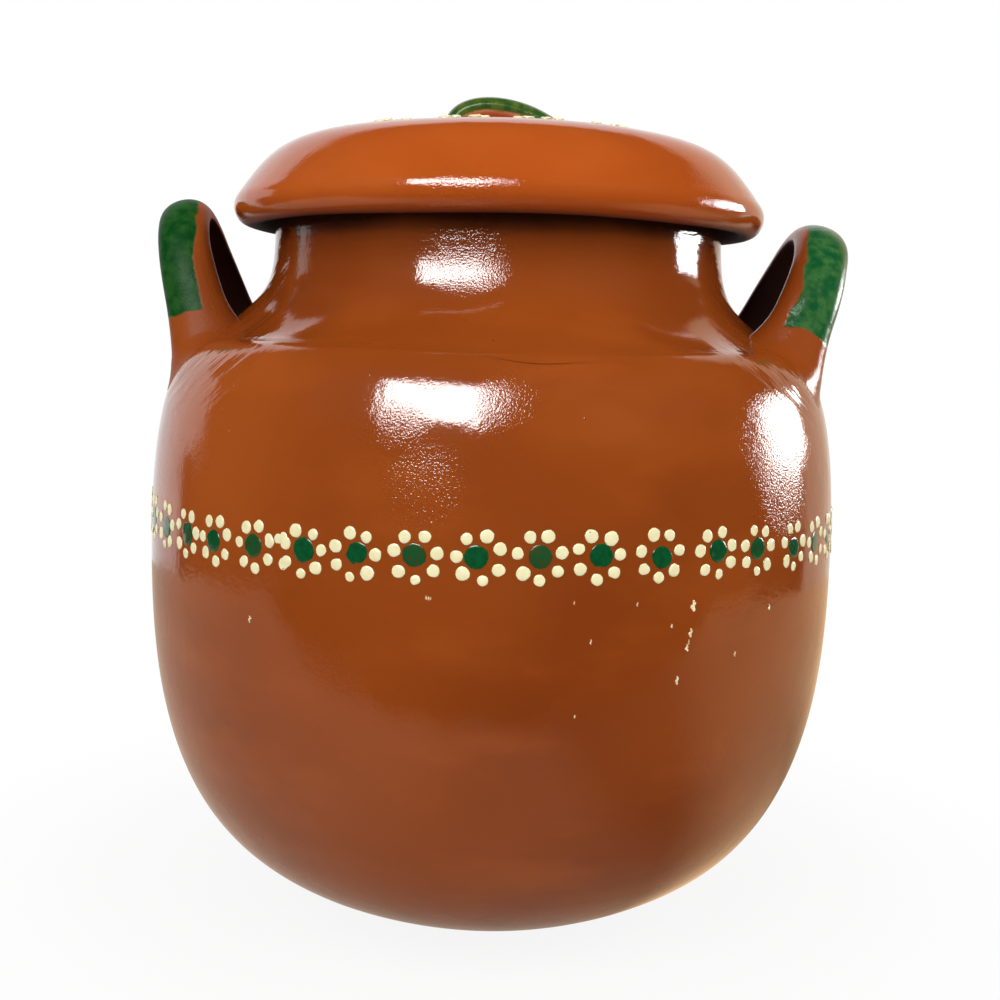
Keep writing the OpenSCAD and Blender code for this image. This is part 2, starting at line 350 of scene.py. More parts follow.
pot_profile = chain(cubic(shoulder_curve, 300), neck_out)
over_pot = wall_gap(pot_profile)
over_lid = wall_gap(cubic(crown_curve, 300))


# %% The section of a strap
SIDES = 56


def section(crown_half, back_half, out_half, in_half):
    """Offsets of a strap's section: rounder on its crown, flatter behind."""
    a = np.linspace(0, 2 * math.pi, SIDES, endpoint=False)
    s, k = np.sin(a), np.cos(a)
    power = np.where(s > 0, 2 / 2.1, 2 / 3)
    high = np.where(s > 0, crown_half, back_half) * np.sign(s) * abs(s) ** power
    wide = np.where(k > 0, out_half, in_half) * np.sign(k) * abs(k) ** power
    return high, wide


# %% A strap that flows into a wall
FOOT_STEPS = 9
FOOT_REACH = 26 * MM


def strap(name, spine, halves, length, gap, fillet, rows):
    """A strap from one foot over its bow to the other. spine gives the middle, the crown side and the
    outward side at a place along it, and halves the section's half sizes there."""

    def ring(u):
        """The points of the section at a place along the strap, and its middle."""
        middle, v, w = spine(u)
        high, wide = section(*halves(u))
        return middle + high[:, None] * v + wide[:, None] * w, middle

    def foot_places(foot_u):
        """Where each line of the strap is at each height of the fillet."""
        inward = 1 if foot_u == 0 else -1
        us = foot_u + inward * np.linspace(-1, 1, 81) * FOOT_REACH
        heights = np.stack([gap(ring(u)[0])[0] for u in us])
        angles = np.linspace(0, math.pi / 2, FOOT_STEPS)
        wanted = fillet * (1 - np.sin(angles))
        found = np.zeros((FOOT_STEPS, SIDES))
        for j in range(SIDES):
            column = np.maximum.accumulate(heights[:, j])
            found[:, j] = np.interp(wanted, column, us)
        return found, fillet * (1 - np.cos(angles))

    def line_points(us):
        """The points of the strap's lines, each at its own place, and the strap's middles there."""
        points, middles = np.zeros((SIDES, 3)), np.zeros((SIDES, 3))
        for j, u in enumerate(us):
            ring_points, middle = ring(u)
            points[j], middles[j] = ring_points[j], middle
        return points, middles

    def foot(foot_u):
        """The rows of a foot, from the strap down its fillet and in under the wall."""
        places, pushes = foot_places(foot_u)
        made = []
        for us, push in zip(places, pushes):
            points, middles = line_points(us)
            side = gap(points)[1]
            away = points - middles
            away -= (away * side).sum(1)[:, None] * side
            away /= np.linalg.norm(away, axis=1)[:, None]
            wiped = np.array([1 + 0.5 * noise.noise(Vector(p) * 90) for p in points])[:, None]
            moved = points + away * push * 1.5 * wiped
            height, side = gap(moved)
            target = gap(points)[0] - 0.05 * MM
            made.append(moved + (target - height)[:, None] * side)
        last = made[-1]
        height, side = gap(last)
        made.append(last + away * 0.8 * MM - (height + 0.9 * MM)[:, None] * side)
        return places[0], made

    first_us, first_foot = foot(0)
    last_us, last_foot = foot(length)
    grid = first_foot[::-1]
    for t in np.linspace(0, 1, rows)[1:-1]:
        grid.append(line_points(first_us + (last_us - first_us) * t)[0])
    grid += last_foot
    points = [p for row in grid for p in row]
    middle_us = [0] * len(first_foot) + list(np.linspace(0, 1, rows)[1:-1]) + [1] * len(last_foot)
    span_u = last_us.mean() - first_us.mean()
    alongs = [v for t in middle_us for v in [min(t, 1 - t) * span_u / MM] * SIDES]
    faces = []
    for a in range(0, (len(grid) - 1) * SIDES, SIDES):
        b = a + SIDES
        faces += [[a + j, a + (j + 1) % SIDES, b + (j + 1) % SIDES, b + j] for j in range(SIDES)]
    for end, row in ((0, grid[0]), (len(grid) - 1, grid[-1])):
        middle = row.mean(0) - gap(row)[1].mean(0) * 2 * MM
        points.append(middle)
        centre = len(points) - 1
        for j in range(SIDES):
            k = (j + 1) % SIDES
            loop = [centre, end * SIDES + k, end * SIDES + j]
            faces.append(loop if end == 0 else loop[::-1])
    made = link_mesh(name, points, faces)
    crowns, acrosses = section(1, 1, 1, 1)
    write_measure(made, "along", alongs + [0, 0])
    write_measure(made, "crown", [*crowns] * len(grid) + [0, 0])
    write_measure(made, "across", [*acrosses] * len(grid) + [0, 0])
    return made


# %% [markdown]
# ## The two ears
# The ears were bent by eye, so they differ: the left one is narrower, higher and more upright than
# the right one. Each is a bow across the pot's own left or right side. We write the bow once, as a
# half ellipse with two straight legs, and give each ear its own span, rise and lean.

# %% Bend the ears
STRAP_W = 18.5 * MM
STRAP_T = 11 * MM
EAR_X = ROOT_R + 10.5 * MM
FLARE_H = 16 * MM
FOOT_SPREAD = 3.5 * MM
INNER_FLARE = 4 * MM


def half_ellipse(span, rise):
    """The length of half an ellipse with these half axes."""
    return math.pi * (3 * (span + rise) - math.sqrt((3 * span + rise) * (span + 3 * rise))) / 2


def ear(name, span, rise, lean, hand, inner_base):
    """An ear on the right (hand 1) or the left (hand -1)."""
    foot_z = np.interp(-math.hypot(EAR_X, span), -shoulder[:, 0], shoulder[:, 1])
    up = np.array([math.sin(lean), 0, math.cos(lean)])
    out = np.array([math.cos(lean), 0, -math.sin(lean)])
    bow = half_ellipse(span, rise)

    def height(u):
        """How high the strap's middle is over the ends of its bow."""
        if u < 0 or u > bow:
            return min(u, bow - u)
        return rise * math.sin(math.pi * u / bow)

    def spine(u):
        """The middle of the ear's strap, its crown side and its outward side."""
        a = math.pi * min(1, max(0, u / bow))
        v = (-math.cos(a) * rise * np.array([0, 1, 0]) + math.sin(a) * span * up)
        v /= math.hypot(math.cos(a) * rise, math.sin(a) * span)
        return np.array([EAR_X, -span * math.cos(a), foot_z]) + height(u) * up, v, out

    def halves(u):
        """Half sizes of the ear's section, which spreads at its feet."""
        f = max(0, min(1.3, 1 - height(u) / FLARE_H)) ** 2
        inner = INNER_FLARE * max(0, min(1, 1 - height(u) / (2.2 * FLARE_H))) ** 1.3
        hand_work = 1 + 0.04 * noise.noise(Vector((u * 60, span * 900, 0)))
        return (0.7 * STRAP_T * hand_work + FOOT_SPREAD * f, 0.3 * STRAP_T + FOOT_SPREAD * f,
                STRAP_W / 2 * hand_work + 1.5 * MM * f, STRAP_W / 2 + inner_base + inner + 4 * MM * f)

    made = strap(name, spine, halves, bow, over_pot, 4 * MM, 84)
    if hand < 0:
        made.data.transform(Matrix.Diagonal((-1, 1, 1, 1)))
        made.data.flip_normals()
    return made


left_ear = ear("ear_left", 27 * MM, 45.5 * MM, math.radians(14), -1, 0)
right_ear = ear("ear_right", 34 * MM, 43.5 * MM, math.radians(19), 1, 1.2 * MM)
print("ears:", [len(e.data.vertices) for e in (left_ear, right_ear)], "points")

# %% [markdown]
# ## The grip on the lid
# The grip is a low strap across the crown, from left to right. Its bow leans to the left, because
# it was pushed while it was wet. It is made as the ears are, on the lid's wall in place of the pot's.

# %% Bend the grip
GRIP_W = 18 * MM
GRIP_T = 8 * MM
GRIP_SPAN = 18.5 * MM
GRIP_RISE = 11.2 * MM
GRIP_X = 3 * MM
GRIP_SHIFT = 7 * MM
GRIP_BOW = half_ellipse(GRIP_SPAN, GRIP_RISE)


def grip_spine(u):
    """The middle of the grip's strap, its crown side and its width's side."""
    a = math.pi * min(1, max(0, u / GRIP_BOW))
    drop = min(0, u, GRIP_BOW - u)
    v = np.array([-math.cos(a) * GRIP_RISE, 0, math.sin(a) * GRIP_SPAN])
    middle = np.array([GRIP_X - GRIP_SPAN * math.cos(a) - GRIP_SHIFT * math.sin(a), 0,
                       CROWN_Z + GRIP_RISE * math.sin(a) + drop])
    return middle, v / np.linalg.norm(v), np.array([0, -1, 0])


def grip_halves(u):
    """Half sizes of the grip's section, which spreads at its feet."""
    f = (1 - math.sin(math.pi * min(1, max(0, u / GRIP_BOW)))) ** 2
    thick, wide = GRIP_T / 2 + 1.5 * MM * f, GRIP_W / 2 + 3 * MM * f
    return thick, thick, wide, wide


grip = strap("lid_grip", grip_spine, grip_halves, GRIP_BOW, over_lid, 2.5 * MM, 60)
print("grip:", len(grip.data.vertices), "points")

# %% [markdown]
# ## Colours and one helper for nodes
# Colours are written as they look on a screen, in hex, and turned to linear values once. A material
# is a tree of nodes, so one small helper adds a node, sets it and links its inputs. They are given
# by name, or as a list that fills the sockets from the top, as they stand in the editor: a Map Range
# takes a value, the two ends that it comes from and the two that it goes to, and a Mix takes the
# share and the two colours.

# %% Colour and node helpers
TIMES = {"operation": "MULTIPLY"}
TIMES_PLUS = {"operation": "MULTIPLY_ADD"}
PLUS = {"operation": "ADD"}
LARGER = {"operation": "MAXIMUM"}
SMOOTH = {"interpolation_type": "SMOOTHSTEP"}
COLOURS = {"data_type": "RGBA"}


def linear(hex_colour):
    """A hex sRGB colour as linear red, green, blue and alpha."""
    parts = [int(hex_colour[i:i + 2], 16) / 255 for i in (1, 3, 5)]
    return [p / 12.92 if p <= 0.04045 else ((p + 0.055) / 1.055) ** 2.4 for p in parts] + [1]


def add(tree, kind, settings=None, inputs=None):
    """Adds a node. An input is a plain value, a hex colour, another node or one of its outputs."""
    node = tree.nodes.new(kind)
    for key, value in (settings or {}).items():
        setattr(node, key, value)
    sockets = [s for s in node.inputs if s.enabled]
    if isinstance(inputs, dict):
        sockets = [next(s for s in sockets if key in (s.name, s.identifier)) for key in inputs]
        inputs = inputs.values()
    for socket, value in zip(sockets, inputs or []):
        if isinstance(value, bpy.types.Node):
            value = next(s for s in value.outputs if s.enabled)
        if isinstance(value, bpy.types.NodeSocket):
            tree.links.new(value, socket)
        else:
            socket.default_value = linear(value) if isinstance(value, str) and value[0] == "#" else value
    return node


def per_mm(size):
    """The scale of a pattern whose features are this many millimetres wide."""
    return 1000 / size


def new_material(name):
    """A new material, its empty tree, and the place on the object that its patterns read."""
    made = bpy.data.materials.new(name)
    made.use_nodes = True
    tree = made.node_tree
    tree.nodes.clear()
    return made, tree, add(tree, "ShaderNodeTexCoord").outputs["Object"]


# %% Two soft shares that the finishes use
def patches(tree, place, size, detail, low, high, most=1.0):
    """The share of a cloudy pattern: its clouds are this many millimetres wide and show from low,
    and most of all from high."""
    cloud = add(tree, "ShaderNodeTexNoise", None, {"Vector": place, "Scale": per_mm(size), "Detail": detail})
    return add(tree, "ShaderNodeMapRange", SMOOTH, [cloud, low, high, 0, most])


def round_spot(tree, place, middle, radius, core, most):
    """The share of a round spot, gone at its radius and at its most inside the core."""
    away = add(tree, "ShaderNodeVectorMath", {"operation": "DISTANCE"}, [place, middle])
    return add(tree, "ShaderNodeMapRange", SMOOTH, [away, radius, core, 0, most])


# %% [markdown]
# ## The glaze
# The real finish is a clear gloss glaze over red earthenware, brushed on and fired once. It gives
# the eye a deep warm brown under a hard wet shine, with broad cloudy patches from the kiln, streaks
# of the wiping hand round the pot, small iron specks, and an orange-peel skin. In some patches the
# skin is full of tiny blisters, which break the light of a window into sparks. Real blisters are
# finer than a pixel, so they are drawn at 0.6 mm. One function makes the glaze for the pot, for the
# brighter lid and for the painted straps.

# %% Iron specks, orange peel and blisters
def iron_specks(tree, place):
    """Small discs of melted iron, in one cell out of eight of a loose pattern."""
    cells = add(tree, "ShaderNodeTexVoronoi", None, {"Vector": place, "Scale": per_mm(9)})
    near_middle = add(tree, "ShaderNodeMapRange", None, [cells.outputs["Distance"], 0.02, 0.05, 1, 0])
    drawn = add(tree, "ShaderNodeSeparateColor", None, {"Color": cells.outputs["Color"]})
    chosen = add(tree, "ShaderNodeMath", {"operation": "GREATER_THAN"}, [drawn, 0.88])
    return add(tree, "ShaderNodeMath", TIMES, [near_middle, chosen])


def skin_height(tree, place, speck, grain, crawled):
    """The glaze's height: long waves, orange peel, blisters that are larger in patches, and specks."""
    wave = add(tree, "ShaderNodeTexNoise", None, {"Vector": place, "Scale": per_mm(13), "Detail": 1.0})
    peel = add(tree, "ShaderNodeTexNoise", None, {"Vector": place, "Scale": per_mm(2.2), "Detail": 2.0})
    height = add(tree, "ShaderNodeMath", TIMES, [wave, 0.16 * MM])
    height = add(tree, "ShaderNodeMath", TIMES_PLUS, [peel, 0.05 * grain * MM, height])
    coarse = patches(tree, place, 34, 3.0, 0.5, 0.68, 0.6)
    if crawled:
        coarse = crawled_spots(tree, place, coarse, *crawled)
    size = add(tree, "ShaderNodeMapRange", {"clamp": False},
               [coarse, 0, 1, 0.015 * grain * MM, 0.095 * grain * MM])
    blister = add(tree, "ShaderNodeTexNoise", None, {"Vector": place, "Scale": per_mm(0.6), "Detail": 1.0})
    height = add(tree, "ShaderNodeMath", TIMES_PLUS, [blister, size, height])
    return add(tree, "ShaderNodeMath", TIMES_PLUS, [speck, 0.12 * MM, height])


# %% Glazed earthenware
GLAZE_IOR = 1.5


def glazed_earthenware(name, middle, deep, bright, paint=None, bare_and_shaded=None, marks=False, crawled=None,
                       gloss=(0.05, 0.12), grain=1.0, level=0.5, greens=("#044015", "#265320")):
    """Clear glaze over red clay. gloss is its range of roughness, grain makes its skin coarser, and
    level dims its mirror where the paint took up the glaze."""
    made, tree, place = new_material(name)
    cloudy = patches(tree, place, 120, 2.0, 0.4, 0.7)
    colour = add(tree, "ShaderNodeMix", COLOURS, [cloudy, middle, deep])
    around = add(tree, "ShaderNodeMapping", None, {"Vector": place, "Scale": (1, 1, 2.2)})
    streaks = patches(tree, around, 60, 4.0, 0.45, 0.8, 0.8)
    colour = add(tree, "ShaderNodeMix", COLOURS, [streaks, colour, bright])
    speck = iron_specks(tree, place)
    speck_share = add(tree, "ShaderNodeMath", TIMES, [speck, 0.7])
    colour = add(tree, "ShaderNodeMix", COLOURS, [speck_share, colour, "#3a1a0a"])
    height = skin_height(tree, place, speck, grain, crawled)
    rough = add(tree, "ShaderNodeTexNoise", None, {"Vector": place, "Scale": per_mm(24), "Detail": 3.0})
    rough = add(tree, "ShaderNodeMapRange", None, [rough, 0, 1, *gloss])
    if marks:
        # Painted light on the left shoulder and painted shade under the lid go into the colour here.
        colour = painted_light_and_shade(tree, place, colour)
        height = wiping_marks(tree, place, height)
        height = throwing_marks(tree, place, height)
    if paint:
        painted = paint(tree, place)
        tone = patches(tree, place, 4, 4.0, 0.35, 0.68)
        green = add(tree, "ShaderNodeMix", COLOURS, [tone, *greens])
        colour = add(tree, "ShaderNodeMix", COLOURS, [painted, colour, green])
        height = add(tree, "ShaderNodeMath", TIMES_PLUS, [painted, 0.15 * MM, height])
    if bare_and_shaded:
        unglazed_and_shaded = bare_and_shaded(tree, place)
        # Painted shade: where this share is, the colour goes near black as shade, and the glaze goes matt.
        colour = add(tree, "ShaderNodeMix", COLOURS, [unglazed_and_shaded, colour, "#2b1108"])
        rough = add(tree, "ShaderNodeMix", None, [unglazed_and_shaded, rough, 0.85])
    bump = add(tree, "ShaderNodeBump", None, {"Height": height, "Distance": 1.0, "Strength": 1.0})
    skin = add(tree, "ShaderNodeBsdfPrincipled", None,
               {"Base Color": colour, "Roughness": rough, "IOR": GLAZE_IOR,
                "Specular IOR Level": level, "Normal": bump})
    add(tree, "ShaderNodeOutputMaterial", None, {"Surface": skin})
    return made


# %% [markdown]
# ## Marks of the hand, painted light and painted shade
# Where an ear meets the pot, fingers and a wet brush dragged the clay and the glaze towards the
# neck. Those marks are shallow ridges that rise towards the neck on both sides, so the pattern uses
# the distance from the middle plane and fades away from the ears. On the neck the throwing left fine
# level rings. A paler spot on the left shoulder, where the left lamp falls, is painted light, the neck
# under the lid is painted dark as the lid's shade, and in a few spots the glaze crawled into blisters.

# %% Ridges and rings
WIPED_FROM = 62 * MM
WIPED_TO = 88 * MM


def wiping_marks(tree, place, height):
    """Adds shallow ridges to a height, on the shoulder and the neck's root beside the ears."""
    x, y, z = add(tree, "ShaderNodeSeparateXYZ", None, [place]).outputs
    aside = add(tree, "ShaderNodeMath", {"operation": "ABSOLUTE"}, [x])
    slanted = add(tree, "ShaderNodeMath", TIMES_PLUS, [aside, 0.8, z])
    ridge_place = add(tree, "ShaderNodeCombineXYZ", None, [slanted, y, x])
    ridge_place = add(tree, "ShaderNodeMapping", None, {"Vector": ridge_place, "Scale": (1, 0.25, 0.12)})
    ridges = add(tree, "ShaderNodeTexNoise", None, {"Vector": ridge_place, "Scale": per_mm(7), "Detail": 3.0})
    share = add(tree, "ShaderNodeMapRange", SMOOTH, [aside, WIPED_FROM, WIPED_TO])
    for first, last in ((0.178, 0.198), (0.245, 0.228)):
        within = add(tree, "ShaderNodeMapRange", SMOOTH, [z, first, last])
        share = add(tree, "ShaderNodeMath", TIMES, [share, within])
    depth = add(tree, "ShaderNodeMath", TIMES, [share, 1.3 * MM])
    return add(tree, "ShaderNodeMath", TIMES_PLUS, [ridges, depth, height])


def throwing_marks(tree, place, height):
    """Adds the fine level rings that the fingers left on the turning neck."""
    stretched = add(tree, "ShaderNodeMapping", None, {"Vector": place, "Scale": (1, 1, 9)})
    rings = add(tree, "ShaderNodeTexNoise", None, {"Vector": stretched, "Scale": per_mm(13), "Detail": 2.0})
    z = add(tree, "ShaderNodeSeparateXYZ", None, [place]).outputs["Z"]
    depth = add(tree, "ShaderNodeMapRange", SMOOTH, [z, 0.226, 0.244, 0, 0.13 * MM])
    return add(tree, "ShaderNodeMath", TIMES_PLUS, [rings, depth, height])


# %% Painted light and shade, and blistered spots
def painted_light_and_shade(tree, place, colour):
    """Painted light as a paler spot on the left shoulder, and painted shade darkening the neck under the lid.
    """
    # Painted light: a paler spot on the left shoulder, where the left lamp falls.
    painted_light_spot = round_spot(tree, place, (-0.09, -0.075, 0.172), 0.065, 0.012, 0.55)
    colour = add(tree, "ShaderNodeMix", COLOURS, [painted_light_spot, colour, "#b5591f"])
    # Painted shade: the neck just under the lid goes near black, as the lid's shadow.
    z = add(tree, "ShaderNodeSeparateXYZ", None, [place]).outputs["Z"]
    stray = add(tree, "ShaderNodeTexNoise", None, {"Vector": place, "Scale": per_mm(30), "Detail": 2.0})
    level = add(tree, "ShaderNodeMath", TIMES_PLUS, [stray, 0.005, z])
    painted_shade_under_lid = add(tree, "ShaderNodeMapRange", SMOOTH, [level, 0.2425, 0.2495, 0, 0.92])
    return add(tree, "ShaderNodeMix", COLOURS, [painted_shade_under_lid, colour, "#200d06"])


# Spots where the glaze crawled into blisters: turn in degrees, height and radius in mm, and strength
CRAWLED_ON_POT = [(3, 192, 15, 1.1), (-13, 182, 12, 1.1), (-9, 163, 19, 1.9), (46, 178, 30, 1.1),
                  (48, 160, 20, 1.9), (-62, 170, 22, 1.1), (-6, 234, 19, 1.2)]
CRAWLED_ON_LID = [(-5, 254, 22, 1.5), (46, 254, 18, 1.4)]


def crawled_spots(tree, place, coarse, spots, wall):
    """Larger blisters in a few spots of a wall, which is given as rows of radius and height."""
    for turn, z, radius, strength in spots:
        r = np.interp(z * MM, wall[:, 1], wall[:, 0])
        a = math.radians(turn)
        middle = (r * math.sin(a), -r * math.cos(a), z * MM)
        spot = round_spot(tree, place, middle, radius * MM, 0.4 * radius * MM, strength)
        coarse = add(tree, "ShaderNodeMath", LARGER, [coarse, spot])
    return coarse


# %% [markdown]
# ## Green slip on the ears and the grip
# A brush of green slip went over the outer side of each ear, from its bow down both legs, and left
# a bare strip beside the neck. The paint has to follow the strap, so the strap carries its own
# measures as attributes: how far along, how far across and how far round to its back a point lies.
# The edges waver as a brush does. The back of the strap, inside the loop, is painted nearly black as
# shade, and so is the lid's underside, which has no glaze: its own attribute says how far that reaches.

# %% Paint on the straps
PAINT_END = 8.5


def measure(tree, key):
    """A number that the piece carries at each of its points."""
    return add(tree, "ShaderNodeAttribute", {"attribute_name": key}).outputs["Fac"]


def ear_paint(edge_high, edge_low):
    """Paint from an inner edge, given near the bow and near the foot, out to the ear's outer side."""

    def paint(tree, place):
        stray = add(tree, "ShaderNodeTexNoise", None, {"Vector": place, "Scale": per_mm(10), "Detail": 4.0})
        along, across = measure(tree, "along"), measure(tree, "across")
        edge = add(tree, "ShaderNodeMapRange", None, [along, 12, 40, edge_low, edge_high])
        edge_place = add(tree, "ShaderNodeMath", TIMES_PLUS, [stray, 0.4, across])
        past_edge = add(tree, "ShaderNodeMath", {"operation": "SUBTRACT"}, [edge_place, edge])
        tilted = add(tree, "ShaderNodeMath", TIMES_PLUS, [across, -3.0, along])
        end_place = add(tree, "ShaderNodeMath", TIMES_PLUS, [stray, 5.0, tilted])
        share = add(tree, "ShaderNodeMapRange", SMOOTH, [past_edge, 0.15, 0.25])
        from_end = (end_place, PAINT_END, PAINT_END + 0.8)
        on_front = (measure(tree, "crown"), -0.25, 0.05)
        for value, low, high in (from_end, on_front):
            within = add(tree, "ShaderNodeMapRange", SMOOTH, [value, low, high])
            share = add(tree, "ShaderNodeMath", TIMES, [share, within])
        return share

    return paint


def round_the_crown(size, detail, stray_by, low, high):
    """A share that changes round a strap, from low to high on its crown's scale, with a stray edge."""

    def share(tree, place):
        stray = add(tree, "ShaderNodeTexNoise", None,
                    {"Vector": place, "Scale": per_mm(size), "Detail": detail})
        level = add(tree, "ShaderNodeMath", TIMES_PLUS, [stray, stray_by, measure(tree, "crown")])
        return add(tree, "ShaderNodeMapRange", SMOOTH, [level, low, high])

    return share


# Painted shade: the back of the strap, inside the loop, goes near black.
painted_shade_inside_loop = round_the_crown(8, 2.0, 0.3, -0.05, -0.4)
grip_paint = round_the_crown(6, 4.0, 0.6, -0.35, 0.0)

# %% Finish the clay pieces
POT_TONES = ("#914314", "#7e3710", "#9f4d1b")
LID_TONES = ("#b04f18", "#a74a15", "#ba591f")
# Painted light: the left ear's clay is a paler copy of the pot's, so its side away from the lamp looks lit.
LEFT_EAR_TONES_LIT = ("#9c4c1a", "#8a4016", "#a85a26")
# Painted light: the grip's clay is far paler than the lid's, so its shaded lower front looks lit.
GRIP_TONES_LIT = ("#eea274", "#de9266", "#f4ae84")
pot_glaze = glazed_earthenware("clear_glaze_on_red_clay", *POT_TONES, marks=True,
                               crawled=(CRAWLED_ON_POT, pot_profile))
left_ear_glaze = glazed_earthenware("clear_glaze_on_left_ear", *LEFT_EAR_TONES_LIT,
                                    paint=ear_paint(-0.78, -0.34), bare_and_shaded=painted_shade_inside_loop,
                                    gloss=(0.32, 0.46), grain=1.8, level=0.04)
right_ear_glaze = glazed_earthenware("clear_glaze_on_right_ear", *POT_TONES,
                                     paint=ear_paint(-0.76, -0.6), bare_and_shaded=painted_shade_inside_loop,
                                     gloss=(0.12, 0.26), grain=2.4, level=0.13,
                                     greens=("#0e5228", "#3c6a36"))
lid_glaze = glazed_earthenware("clear_glaze_on_orange_clay", *LID_TONES,
                               bare_and_shaded=lambda tree, place: measure(tree, "under"),
                               crawled=(CRAWLED_ON_LID, chain(edge, crown)))
grip_glaze = glazed_earthenware("clear_glaze_on_painted_grip", *GRIP_TONES_LIT, paint=grip_paint,
                                gloss=(0.12, 0.24), grain=1.8, level=0.12,
                                greens=("#28501a", "#566826"))
for piece, finish in (
    (bowl, pot_glaze),
    (neck, pot_glaze),
    (left_ear, left_ear_glaze),
    (right_ear, right_ear_glaze),
    (lid, lid_glaze),
    (grip, grip_glaze),
):
    piece.data.materials.append(finish)
    print(piece.name, "is finished with", finish.name)

# %% [markdown]
# ## Slip flowers
# Each flower is a round dab of green slip with seven dots of cream slip round it, trailed on by hand
# before the glaze. Hundreds of dots share one low dome, so Geometry Nodes place them: every dot is a
# bare point with an aim, a size and a thickness, and the tree drops it on the wall along its aim,
# turns the dome to the wall, varies it a little and makes real mesh of it.


# %% One low dome
def disc(name, top, rings, steps):
    """A round mesh: a middle point at the height top, and rings of this radius and height round it."""
    points, faces = [(0, 0, top)], []
    for r, z in rings:
        for k in range(steps):
            a = 2 * math.pi * k / steps
            points.append((r * math.cos(a), r * math.sin(a), z))
    for k in range(steps):
        j = (k + 1) % steps
        faces.append([0, 1 + k, 1 + j])
        for ring in range(len(rings) - 1):
            a, b = 1 + ring * steps, 1 + (ring + 1) * steps
            faces.append([a + k, b + k, b + j, a + j])
    return link_mesh(name, points, faces)


# The dome has radius and height 1, its skirt goes under the wall, and rim says how far out a point is
DOME_RINGS = [(0.74, 0.96), (0.94, 0.6), (1.0, 0), (1.02, -0.8)]
DOME_STEPS = 12
dome = disc("slip_dome", 1, DOME_RINGS, DOME_STEPS)
write_measure(dome, "rim", [0] + [r for r, z in DOME_RINGS for k in range(DOME_STEPS)])
print("dome:", len(dome.data.polygons), "faces")


# %% The tree that sets dabs on a wall
DROP = 0.01
UNEVEN_BY = 0.16


def dab_tree():
    """Geometry Nodes that drop each point on a wall and put a dab of slip there."""
    tree = bpy.data.node_groups.new("Slip dabs on a wall", "GeometryNodeTree")
    sides = tree.interface
    sides.new_socket("Geometry", in_out="OUTPUT", socket_type="NodeSocketGeometry")
    for label, kind, value in (("Geometry", "Geometry", None), ("Wall", "Object", None),
                               ("Dab", "Object", None), ("Unevenness", "Float", UNEVEN_BY),
                               ("Seed", "Int", 5), ("Slip", "Material", None)):
        made = sides.new_socket(label, in_out="INPUT", socket_type="NodeSocket" + kind)
        if value is not None:
            made.default_value = value
    given = add(tree, "NodeGroupInput").outputs
    wall, dab = (add(tree, "GeometryNodeObjectInfo", None, {"Object": given[label]}).outputs["Geometry"]
                 for label in ("Wall", "Dab"))
    aim, size, thick = (add(tree, "GeometryNodeInputNamedAttribute", {"data_type": kind}, {"Name": key})
                        for key, kind in (("aim", "FLOAT_VECTOR"), ("size", "FLOAT"), ("thick", "FLOAT")))
    here = add(tree, "GeometryNodeInputPosition")
    start = add(tree, "ShaderNodeVectorMath", TIMES_PLUS, [aim, (DROP, DROP, DROP), here])
    back = add(tree, "ShaderNodeVectorMath", {"operation": "SCALE"}, [aim, -1.0])
    ray = add(tree, "GeometryNodeRaycast", None, {"Target Geometry": wall, "Source Position": start,
                                                  "Ray Direction": back, "Ray Length": 3 * DROP})
    upright = add(tree, "FunctionNodeAlignRotationToVector", {"axis": "Z"},
                  {"Vector": ray.outputs["Hit Normal"]})
    kept = add(tree, "GeometryNodeCaptureAttribute", {"domain": "POINT"})
    kept.capture_items.new("ROTATION", "Turned")
    tree.links.new(given["Geometry"], kept.inputs["Geometry"])
    tree.links.new(upright.outputs[0], kept.inputs["Turned"])
    on_wall = add(tree, "GeometryNodeSetPosition", None,
                  {"Geometry": kept.outputs["Geometry"], "Position": ray.outputs["Hit Position"]})
    spin = add(tree, "FunctionNodeRandomValue", {"data_type": "FLOAT_VECTOR"},
               {"Max": (0, 0, 6.283), "Seed": given["Seed"]})
    spun = add(tree, "FunctionNodeRotateRotation", {"rotation_space": "LOCAL"},
               {"Rotation": kept.outputs["Turned"], "Rotate By": spin})
    uneven = add(tree, "FunctionNodeRandomValue", {"data_type": "FLOAT_VECTOR"},
                 {"Min": (0.93, 0.93, 0.85), "Max": (1.07, 1.07, 1.15), "Seed": given["Seed"]})
    sized = add(tree, "ShaderNodeCombineXYZ", None, [size, size, thick])
    scale = add(tree, "ShaderNodeVectorMath", TIMES, [sized, uneven])
    dabs = add(tree, "GeometryNodeInstanceOnPoints", None,
               {"Points": on_wall, "Instance": dab, "Rotation": spun, "Scale": scale})
    real = add(tree, "GeometryNodeRealizeInstances", None, {"Geometry": dabs})
    place = add(tree, "GeometryNodeInputPosition")
    ripple = add(tree, "ShaderNodeTexNoise", None, {"Vector": place, "Scale": per_mm(1.8)})
    centred = add(tree, "ShaderNodeVectorMath", {"operation": "SUBTRACT"},
                  [ripple.outputs["Color"], (0.5, 0.5, 0.5)])
    stretch = add(tree, "ShaderNodeMath", TIMES, [given["Unevenness"], 0.005])
    moved = add(tree, "ShaderNodeVectorMath", {"operation": "SCALE"}, [centred, stretch])
    shaken = add(tree, "GeometryNodeSetPosition", None, {"Geometry": real, "Offset": moved})
    coloured = add(tree, "GeometryNodeSetMaterial", None, {"Geometry": shaken, "Material": given["Slip"]})
    add(tree, "NodeGroupOutput", None, {"Geometry": coloured})
    return tree


dabs_on_wall = dab_tree()
print("tree:", dabs_on_wall.name, len(dabs_on_wall.nodes), "nodes")


